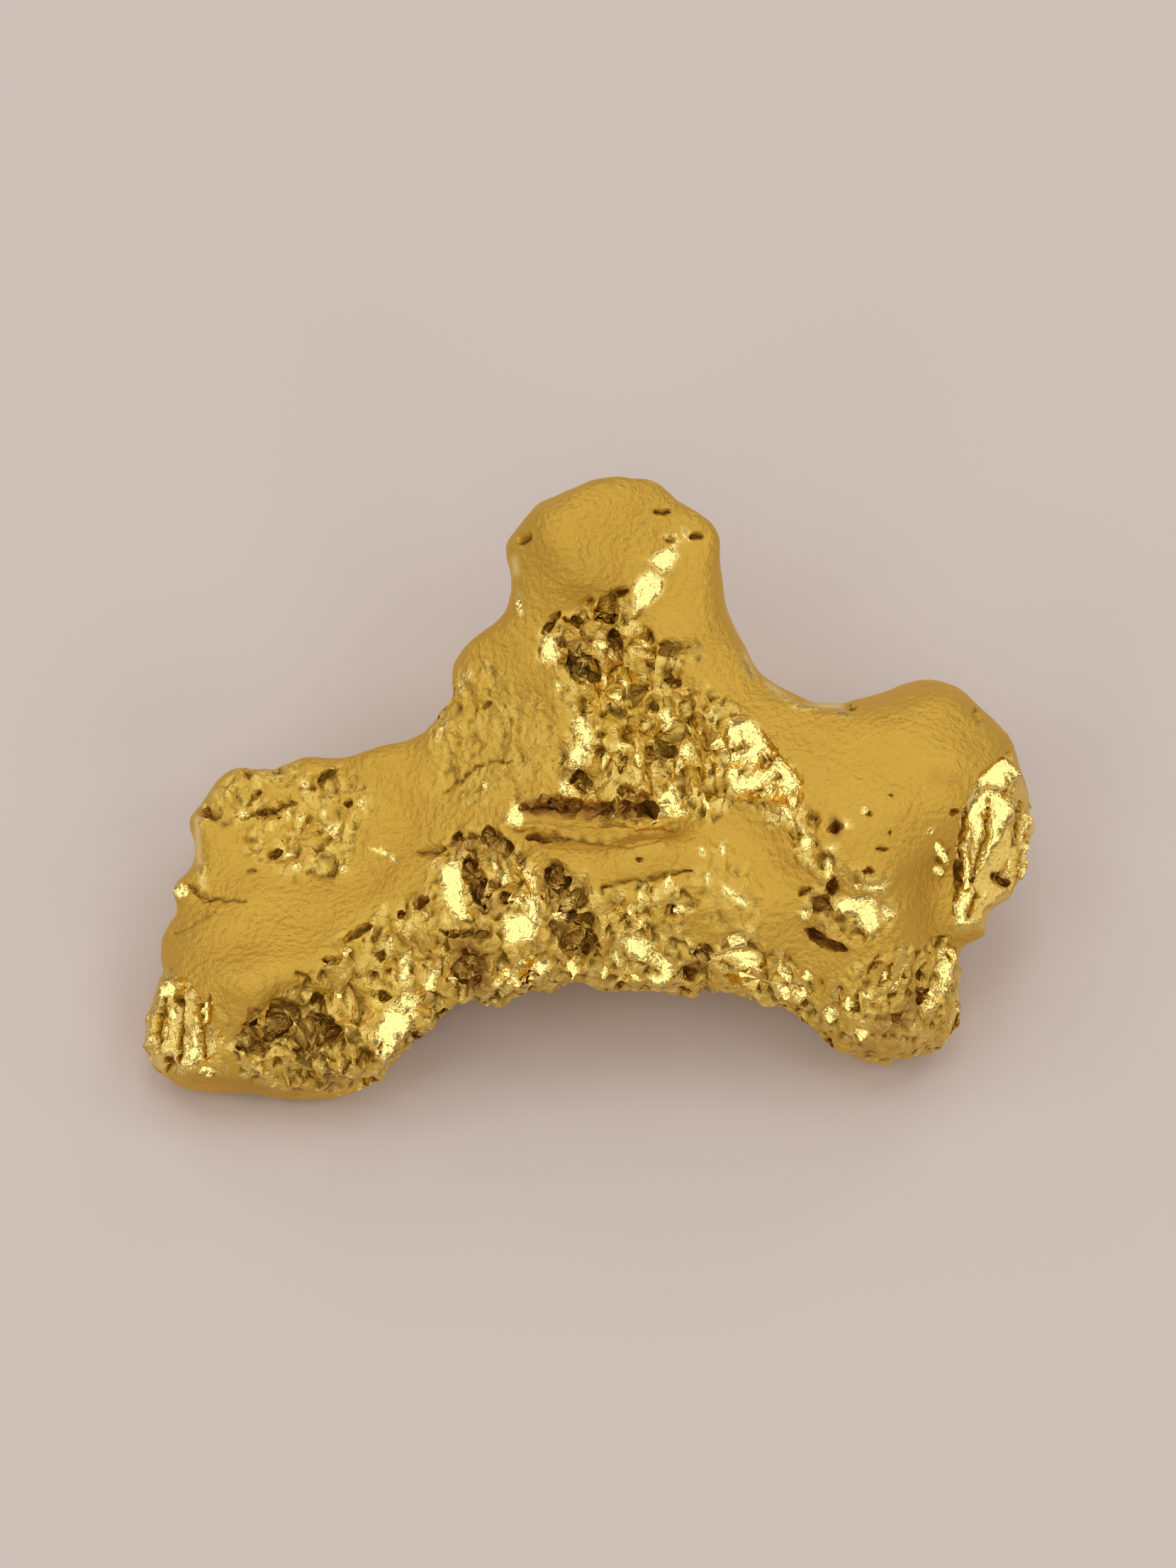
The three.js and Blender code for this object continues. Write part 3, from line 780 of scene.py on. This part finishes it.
def marked(points, front):
    near = np.zeros(len(points), bool)
    for line, half_width, depth in CUTS.values():
        near |= band_weight(points, line, half_width + MARK_MARGIN) > 0
    for x, y, half_width, half_length, lean in MIRRORS.values():
        reach = mirror_reach(points, x, y, half_width + MARK_MARGIN, half_length + MARK_MARGIN, lean)
        near |= reach < 1
    for outline in FACES.values():
        near |= area_weight(points, outline, MARK_MARGIN) > 0
    return near & (front > BARELY_FACING)


def split_faces(chosen, cuts):
    select_only(lump)
    faces = lump.data.polygons
    corners = np.empty(len(lump.data.loops), np.int32)
    lump.data.loops.foreach_get("vertex_index", corners)
    starts = np.empty(len(faces), np.int32)
    faces.foreach_get("loop_start", starts)
    picked = np.maximum.reduceat(chosen[corners].astype(np.int8), starts) > 0
    bpy.ops.object.mode_set(mode="EDIT")
    bpy.ops.mesh.select_mode(type="FACE")
    bpy.ops.mesh.select_all(action="DESELECT")
    bpy.ops.object.mode_set(mode="OBJECT")
    faces.foreach_set("select", picked)
    bpy.ops.object.mode_set(mode="EDIT")
    bpy.ops.mesh.subdivide(number_cuts=cuts)
    bpy.ops.object.mode_set(mode="OBJECT")


def vertex_group(name, weight):
    group = lump.vertex_groups.get(name) or lump.vertex_groups.new(name=name)
    steps = np.round(weight * GROUP_STEPS).astype(int)
    for step in range(1, GROUP_STEPS + 1):
        group.add(np.flatnonzero(steps == step).tolist(), step / GROUP_STEPS, "REPLACE")


front = facing()
seen = (rough > BARELY_ROUGH) & (front > BARELY_FACING)
split_faces(seen | marked(photo_pixels(positions()), front), SEEN_CUTS)
split_faces((rough_ground(positions()) > BARELY_ROUGH) & (facing() <= BARELY_FACING), HIDDEN_CUTS)
co = positions()
rough = rough_ground(co)
vertex_group("fine", ((rough > BARELY_ROUGH) | marked(photo_pixels(co), facing())).astype(float))
finish_modifier(lump, "SMOOTH", factor=SOFTEN_SHARE, iterations=FINE_SOFTENING, vertex_group="fine")
print("finer skin:", len(lump.data.vertices), "vertices")

# %% [markdown]
# Broken metal and crystals are flat faces that meet in sharp edges. The main breaks come first: a copy of
# the lump is crumpled by a noise texture, and then decimated, which swaps each crumple for a few flat
# triangles. The fine skin is shrunk onto that copy, but only as far as each place is rough.

# %% Main breaks
CRUMPLE_GRAIN = 0.17
CRUMPLE_DEPTH = -0.15
CRUMPLE_FACES = 0.08
CRUMPLE_REACH = 0.9

vertex_group("rough", rough * CRUMPLE_REACH)
select_only(lump)
bpy.ops.object.duplicate()
crumpled = bpy.context.view_layer.objects.active
crumple = bpy.data.textures.new("crumple", "CLOUDS")
crumple.noise_scale = CRUMPLE_GRAIN
crumple.noise_basis = "BLENDER_ORIGINAL"
crumple.noise_type = "HARD_NOISE"
finish_modifier(crumpled, "DISPLACE", texture=crumple, texture_coords="LOCAL", strength=CRUMPLE_DEPTH)
finish_modifier(crumpled, "DECIMATE", ratio=CRUMPLE_FACES)
print("crumpled copy:", len(crumpled.data.polygons), "faces")
finish_modifier(lump, "SHRINKWRAP", target=crumpled, vertex_group="rough")
bpy.data.objects.remove(crumpled)

# %% [markdown]
# Then the breaks are chipped, like a flint under a hammer. Each chip brings a small patch onto a plane that
# leans a little at random, mostly by cutting, and gets a polish of its own. Where two chips meet, the edge
# is as sharp as on a crystal. The patches are found in a copy of the surface that is stretched sideways, so
# the chips are longer than they are wide, because gold crystals grow in ribs.

# %% How a chip is cut
CHIP_STRETCH = (1.9, 1.0, 1.0)
CHIP_FADE = 9
CHIP_FILL = 0.6
CHIP_SEED = 5

chance = np.random.default_rng(CHIP_SEED)


def chip(co, normal, strength, places, reach, lean, bite):
    uncut = co * CHIP_STRETCH
    tree = kdtree.KDTree(len(co))
    for index, point in enumerate(uncut):
        tree.insert(point, index)
    tree.balance()
    polish = np.zeros(len(co))
    for place in places:
        found = tree.find_range(uncut[place], reach)
        members = np.array([index for point, index, distance in found])
        distances = np.array([distance for point, index, distance in found])
        fade = 1 - (distances / reach) ** CHIP_FADE
        plane = normal[place] + lean * chance.uniform(-1, 1, 3)
        plane /= np.linalg.norm(plane)
        height = (co[members] - co[place]) @ plane + bite * reach
        height = np.where(height > 0, height, CHIP_FILL * height)
        co[members] -= (fade * strength[members] * height)[:, None] * plane
        polish[members] = chance.random()
    return polish


print("seed of the chips:", CHIP_SEED)

# %% [markdown]
# The far side first gets some broad, shallow dings, as stones leave on soft metal. Then the large chips
# come, and the small ones bite into them. Both are strewn over the rough ground alone, and fewer of them
# where the camera doesn't look.

# %% Dings and chips
DINGS = {"count": 160, "reach": 0.3, "lean": 0.12, "bite": 0.0}
CHIPS = {
    "large": {"count": 650, "reach": 0.2, "lean": 0.55, "bite": 0.08},
    "small": {"count": 3800, "reach": 0.09, "lean": 0.6, "bite": 0.04},
}
HIDDEN_CHIPS = 0.7

co = positions()
hidden_skin = (rough_ground(co) < BARELY_ROUGH) & (normals() @ view_back < -TURNED_AWAY)
places = chance.choice(np.flatnonzero(hidden_skin), DINGS["count"])
chip(co, normals(), hidden_skin.astype(float), places, DINGS["reach"], DINGS["lean"], DINGS["bite"])
move_to(co)
for name, size in CHIPS.items():
    co = positions()
    rough = rough_ground(co)
    seen = np.flatnonzero((rough > BARELY_ROUGH) & (facing() > BARELY_FACING))
    hidden = np.flatnonzero((rough > BARELY_ROUGH) & (facing() <= BARELY_FACING))
    places = np.concatenate([chance.choice(seen, size["count"]),
                             chance.choice(hidden, int(size["count"] * HIDDEN_CHIPS))])
    polish = chip(co, normals(), rough, places, size["reach"], size["lean"], size["bite"])
    co[:, 2] = np.maximum(co[:, 2], 0)
    move_to(co)
    print(name, "chips:", len(places))

# %% [markdown]
# Now the crystal faces are made. For each one, the patch of metal under it is pressed onto a plane, and the
# plane is the one that reflects a lamp into the camera with the least tilt away from how the metal already
# lies. A plane halfway between the way to the eye and the way to a lamp does that. A face that is shaved is
# only cut down, and not filled up.

# %% How a face is pressed
FRONT_ENOUGH = 0.3
FEWEST_VERTICES = 3
DEEPEST_PRESS = 0.11
SHAVE_LEVEL = 0.35


def press_mirror(co, normal, weight, shave=0):
    inside = weight > FRONT_ENOUGH
    if inside.sum() < FEWEST_VERTICES:
        return co
    middle = np.average(co[inside], axis=0, weights=weight[inside])
    outward = np.average(normal[inside], axis=0, weights=weight[inside])
    outward /= np.linalg.norm(outward)
    to_eye = camera_mm - middle
    to_eye /= np.linalg.norm(to_eye)
    halfway = [(to_eye + toward) / np.linalg.norm(to_eye + toward) for toward in toward_panels]
    plane = max(halfway, key=lambda half: half @ outward)
    height = (co - middle) @ plane / (outward @ plane)
    if shave:
        height = np.clip(height - np.quantile(height[inside], SHAVE_LEVEL), 0, shave)
    height = np.clip(height, -DEEPEST_PRESS, max(DEEPEST_PRESS, shave))
    return co - outward * (weight * height)[:, None]


print("deepest press:", DEEPEST_PRESS, "mm")

# %% [markdown]
# The larger faces are pressed first. Each gets the shine: a lower roughness and a paler, painted highlight
# colour. The three broadest are shaved, because filling would make them stand out from the lump. Two of
# those are only half polished, as on the real one, and get half the painted highlight. A gentle swell then
# keeps all of them from looking machined.

# %% Press the larger faces
FACE_EDGE = 1.0
SHAVED = {"ear_plane": 0.16, "scarp_plane": 0.2, "tip_plane": 0.15}
HALF_SHINE = {"ear_plane": 0.45, "tip_plane": 0.6}
SWELL_GRAIN = 0.15
SWELL_SHIFT = 61.0
SWELL_HEIGHT = 0.005

co = positions()
pixels = photo_pixels(co)
front = facing()
normal = normals()
shine = np.zeros(len(co))
# Each face's shine is a lower roughness and a paler, painted highlight colour.
for name, outline in FACES.items():
    weight = area_weight(pixels, outline, FACE_EDGE) * front
    co = press_mirror(co, normal, weight, SHAVED.get(name, 0))
    shine = np.maximum(shine, HALF_SHINE.get(name, 1) * weight)
pressed = np.flatnonzero(shine > 0)
swell = SWELL_HEIGHT * shine[pressed] * noise_at(co[pressed], SWELL_GRAIN, SWELL_SHIFT)
co[pressed] += normal[pressed] * swell[:, None]
move_to(co)
print("pressed:", len(pressed), "vertices")

# %% [markdown]
# The cuts go in along the surface's own normal, so that they stay in the metal on a slope as well. Their
# pixels waver with a fine noise, because a stone doesn't scratch along a ruler. One round of smoothing
# takes the burr off.

# %% Make the cuts
WAVER = 1.6
WAVER_GRAIN = 0.11
WAVER_SHIFTS = (31.0, 47.0)


def wavering(co):
    waver = np.stack([noise_at(co, WAVER_GRAIN, shift) for shift in WAVER_SHIFTS], 1)
    return photo_pixels(co) + WAVER * waver


normal = normals()
pixels = wavering(co)
cut_through = np.zeros(len(co), bool)
for line, half_width, depth in CUTS.values():
    weight = cut_weight(pixels, line, half_width) * front
    co -= normal * (depth * weight)[:, None]
    shine *= 1 - weight
    cut_through |= weight > 0
move_to(co)
finish_modifier(lump, "SMOOTH", factor=SOFTEN_SHARE, iterations=1, vertex_group="fine")
print("brought down or up by cuts:", int(cut_through.sum()), "vertices")

# %% [markdown]
# The small mirrors are pressed last, so that they stay crisp. They and the glints get the shine: a lower
# roughness and a paler, painted highlight colour. The underside is kept flat on the ground.

# %% Press the small mirrors
MIRROR_EDGE = 0.45

co = positions()
pixels = photo_pixels(co)
normal = normals()
# Each small mirror's shine is a lower roughness and a paler, painted highlight colour.
for x, y, half_width, half_length, lean in MIRRORS.values():
    reach = mirror_reach(pixels, x, y, half_width, half_length, lean)
    weight = smoothstep((1 - reach) / MIRROR_EDGE) * front
    co = press_mirror(co, normal, weight)
    shine = np.maximum(shine, weight)
# Glints are painted highlights: shine without any change of shape.
for line, half_width in GLINTS.values():
    shine = np.maximum(shine, band_weight(pixels, line, half_width))
co[:, 2] = np.maximum(co[:, 2], 0)
move_to(co)
print("bright share:", round(float((shine > 0.5).mean()), 3))

# %% [markdown]
# The crevices between the crystals are darkened with painted shade. To find them, the surface is blurred,
# and each vertex is compared with its blurred place. Where it lies deeper, it is in a crevice. Only the
# rough ground and the marks get this shade; the worn skin gets none.

# %% Painted shade in the crevices
CAVITY_ROUNDS = 6
CAVITY_FULL = 0.0115
ROUGH_ENOUGH_FOR_SHADE = 0.1


def blurred(co, rounds):
    pairs = np.empty(len(lump.data.edges) * 2, np.int32)
    lump.data.edges.foreach_get("vertices", pairs)
    first, second = pairs[::2], pairs[1::2]
    count = np.bincount(pairs, minlength=len(co))
    for _ in range(rounds):
        total = np.stack([np.bincount(first, co[second, axis], len(co))
                          + np.bincount(second, co[first, axis], len(co)) for axis in range(3)], 1)
        co = (co + total / count[:, None]) / 2
    return co


sunk = ((blurred(co, CAVITY_ROUNDS) - co) * normals()).sum(1) / CAVITY_FULL
rough = rough_ground(co)
# The crevices found here are darkened with painted shade.
cavity = smoothstep(sunk) * ((rough > ROUGH_ENOUGH_FOR_SHADE) | marked(pixels, front))
print("cavity share:", round(float(cavity.mean()), 3))

# %% [markdown]
# The finish follows the shape, so its masks are stored on the mesh as attributes: how rough the ground is,
# where it shines with a painted highlight, how well each chip is polished, where stain lies and where the
# crevices get painted shade. The material reads them by name. The lump then goes back to its real size, and
# is thinned a little where its faces are flat. Edges sharper than the given angle stay sharp, which keeps
# the crystals crisp on the smooth skin.

# %% Store the finish
MOST_TRIANGLES = 192000
SHARP_EDGE = 30
SHINE_CLEARS_STAIN = 0.8
POLISH_GAIN = 1.5

stain = np.zeros(len(co))
for line, half_width, share in STAINS.values():
    stain = np.maximum(stain, share * band_weight(pixels, line, half_width) * front)


def store(name, values):
    attribute = lump.data.attributes.new(name, "FLOAT", "POINT")
    attribute.data.foreach_set("value", values.astype(np.float32))


lump.vertex_groups.clear()
store("rough", rough)
store("shine", shine)
store("stain", stain * (1 - SHINE_CLEARS_STAIN * shine))
# Painted shade in the crevices, left off where it shines.
store("cavity", cavity * (1 - shine))
store("polish", polish * np.clip(POLISH_GAIN * rough, 0, 1))
scale_by(lump, 1 / ENLARGED)
lump.data.calc_loop_triangles()
print("before decimation:", len(lump.data.loop_triangles), "triangles")
finish_modifier(lump, "DECIMATE", ratio=min(1, MOST_TRIANGLES / len(lump.data.loop_triangles)))
bpy.ops.object.shade_smooth_by_angle(angle=math.radians(SHARP_EDGE))
lump.data.calc_loop_triangles()
print("triangles:", len(lump.data.loop_triangles))

# %% [markdown]
# Native gold is a metal, so its colour sits in the reflection. The worn skin is a matte, slightly mottled
# yellow. On the broken ground each chip has its own polish, so it is made smoother and paler with it. The
# mirrors and glints are the palest, a painted highlight. Painted shade in the crevices and the stain lie
# over all of it, brown and duller. Each layer is one Mix node with a stored mask as its factor. That node
# has a pair of sockets for each kind of value, so the colours go in and come out by number.

# %% Gold
SKIN_DEEP = (0.71, 0.46, 0.077, 1)
SKIN_PALE = (0.82, 0.55, 0.102, 1)
BROKEN_DULL = (0.80, 0.55, 0.10, 1)
BROKEN_BRIGHT = (1.0, 0.78, 0.24, 1)
# Paler gold where it shines, a painted highlight.
PAINTED_HIGHLIGHT_GOLD = (0.96, 0.75, 0.26, 1)
# The brown of the painted shade in the crevices.
CREVICE_SHADE = (0.28, 0.17, 0.028, 1)
IRON_STAIN = (0.37, 0.175, 0.03, 1)
MOTTLE = {"scale": 1400, "detail": 3}

COLOUR_SOCKETS = (6, 7)
COLOUR_RESULT = 2

gold = bpy.data.materials.new("native_gold")
gold.use_nodes = True
nodes, links = gold.node_tree.nodes, gold.node_tree.links
shader = nodes["Principled BSDF"]
place = nodes.new("ShaderNodeTexCoord")


def mask(name):
    node = nodes.new("ShaderNodeAttribute")
    node.attribute_name = name
    return node.outputs["Fac"]


def noise_mask(scale, detail):
    node = nodes.new("ShaderNodeTexNoise")
    node.inputs["Scale"].default_value = scale
    node.inputs["Detail"].default_value = detail
    links.new(place.outputs["Object"], node.inputs["Vector"])
    return node.outputs["Fac"]


def mix_colour(factor, first, second):
    node = nodes.new("ShaderNodeMix")
    node.data_type = "RGBA"
    links.new(factor, node.inputs["Factor"])
    for index, value in zip(COLOUR_SOCKETS, (first, second)):
        if isinstance(value, tuple):
            node.inputs[index].default_value = value
        else:
            links.new(value, node.inputs[index])
    return node.outputs[COLOUR_RESULT]


def between(factor, low, high):
    node = nodes.new("ShaderNodeMapRange")
    node.inputs["To Min"].default_value = low
    node.inputs["To Max"].default_value = high
    links.new(factor, node.inputs["Value"])
    return node.outputs["Result"]


skin = mix_colour(noise_mask(**MOTTLE), SKIN_DEEP, SKIN_PALE)
chipped = mix_colour(mask("polish"), BROKEN_DULL, BROKEN_BRIGHT)
ground = mix_colour(mask("rough"), skin, chipped)
# Painted highlight: the shine turns the colour to the paler gold.
bright = mix_colour(mask("shine"), ground, PAINTED_HIGHLIGHT_GOLD)
# Painted shade darkens the crevices.
crevice_shaded = mix_colour(mask("cavity"), bright, CREVICE_SHADE)
links.new(mix_colour(mask("stain"), crevice_shaded, IRON_STAIN), shader.inputs["Base Color"])
print("colours mixed:", len(nodes), "nodes")

# %% [markdown]
# The same masks drive how smooth and how metallic the surface is. A fine bump gives the grain, and it fades
# on the mirrors, which are flat. The finished lump then takes the place of the imported solid, under the
# part's root body.

# %% Gold's smoothness, and the lump's place in the part
MATTE_ROUGHNESS = 0.56
POLISHED_ROUGHNESS = 0.16
MIRROR_ROUGHNESS = 0.15
STAINED_METALLIC = 0.7
GRAIN = {"scale": 15000, "detail": 3}
GRAIN_HEIGHT = 0.000034
GRAIN_ON_MIRRORS = 0.25

roughness = nodes.new("ShaderNodeMix")
links.new(mask("shine"), roughness.inputs["Factor"])
links.new(between(mask("polish"), MATTE_ROUGHNESS, POLISHED_ROUGHNESS), roughness.inputs["A"])
roughness.inputs["B"].default_value = MIRROR_ROUGHNESS
links.new(roughness.outputs["Result"], shader.inputs["Roughness"])
links.new(between(mask("stain"), 1, STAINED_METALLIC), shader.inputs["Metallic"])

bump = nodes.new("ShaderNodeBump")
bump.inputs["Distance"].default_value = GRAIN_HEIGHT
links.new(between(mask("shine"), 1, GRAIN_ON_MIRRORS), bump.inputs["Strength"])
links.new(noise_mask(**GRAIN), bump.inputs["Height"])
links.new(bump.outputs["Normal"], shader.inputs["Normal"])

lump.data.materials.append(gold)
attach(lump, "root")
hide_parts("nugget")
print("gold nodes:", len(nodes))

# %% [markdown]
# The nugget lies on plain pale paper, wide enough that its edge is never near, and matte, so that it shows
# a soft shadow and the warm light that the gold throws back. It is only a stage, and no part of the model.

# %% Floor
FLOOR_SIZE = 2.0
PAPER_TONE = (0.76, 0.70, 0.70, 1)
PAPER_ROUGHNESS = 0.9

bpy.ops.mesh.primitive_plane_add(size=FLOOR_SIZE, location=(0, 0, 0))
floor = bpy.context.view_layer.objects.active
floor.name = "floor"
paper = bpy.data.materials.new("pale_paper")
paper.use_nodes = True
paper_shader = paper.node_tree.nodes["Principled BSDF"]
paper_shader.inputs["Base Color"].default_value = PAPER_TONE
paper_shader.inputs["Roughness"].default_value = PAPER_ROUGHNESS
floor.data.materials.append(paper)
print("floor:", FLOOR_SIZE, "m")
